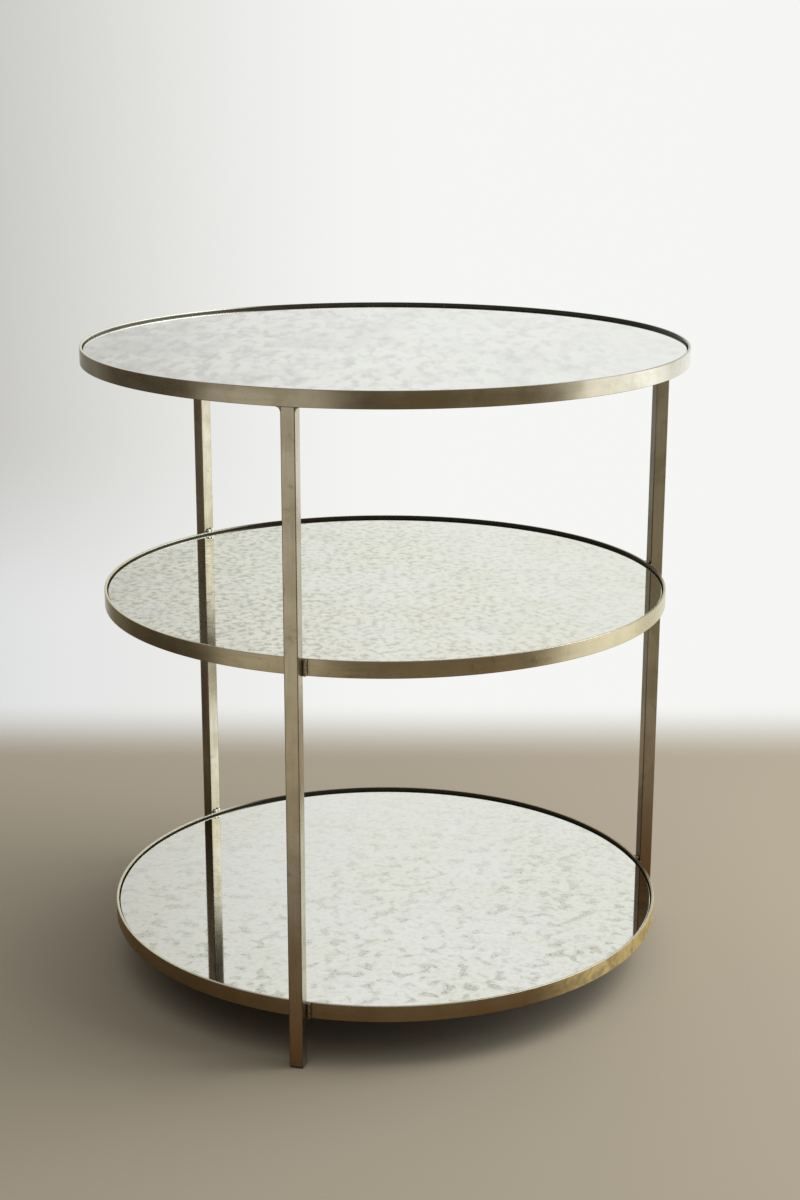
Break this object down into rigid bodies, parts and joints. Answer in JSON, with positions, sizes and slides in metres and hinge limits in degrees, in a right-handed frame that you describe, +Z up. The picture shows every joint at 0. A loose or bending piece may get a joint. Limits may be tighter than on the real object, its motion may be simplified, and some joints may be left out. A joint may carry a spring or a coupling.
{
  "type": "tiered side table",
  "caption": "Round tiered side table: rolled metal rims hold antiqued mirror shelves and are welded to slim square legs.",
  "frame": {"origin": "centre of the table's round plan, on the floor under the glides", "axes": "+Z up along the axis of the round tiers; -Y is the table's front and +X its right as seen from the front; the leg at the front stands 16 degrees to the left of -Y"},
  "size_m": [0.7109, 0.711, 0.762],
  "materials": {
    "patina_brass": "satin, aged to a brown and olive patina",
    "weld_brass": "satin weld metal, darker than the bars",
    "antiqued_mirror": "antiqued silvering with specks and smoky blotches",
    "black_board": "matt black sealed fibreboard",
    "zinc_steel": "zinc plated",
    "dark_plastic": "matt moulded nylon"
  },
  "bodies": {
    "root": {"top_rim": "patina_brass", "top_tabs": "patina_brass", "top_board": "black_board", "top_mirror": "antiqued_mirror", "top_board_screws": "zinc_steel", "top_leg_welds": "weld_brass", "middle_rim": "patina_brass", "middle_tabs": "patina_brass", "middle_board": "black_board", "middle_mirror": "antiqued_mirror", "middle_board_screws": "zinc_steel", "middle_leg_welds": "weld_brass", "bottom_rim": "patina_brass", "bottom_tabs": "patina_brass", "bottom_board": "black_board", "bottom_mirror": "antiqued_mirror", "bottom_board_screws": "zinc_steel", "bottom_leg_welds": "weld_brass", "front_leg": "patina_brass", "front_glide": "dark_plastic", "right_leg": "patina_brass", "right_glide": "dark_plastic", "left_leg": "patina_brass", "left_glide": "dark_plastic"}
  },
  "joints": []
}
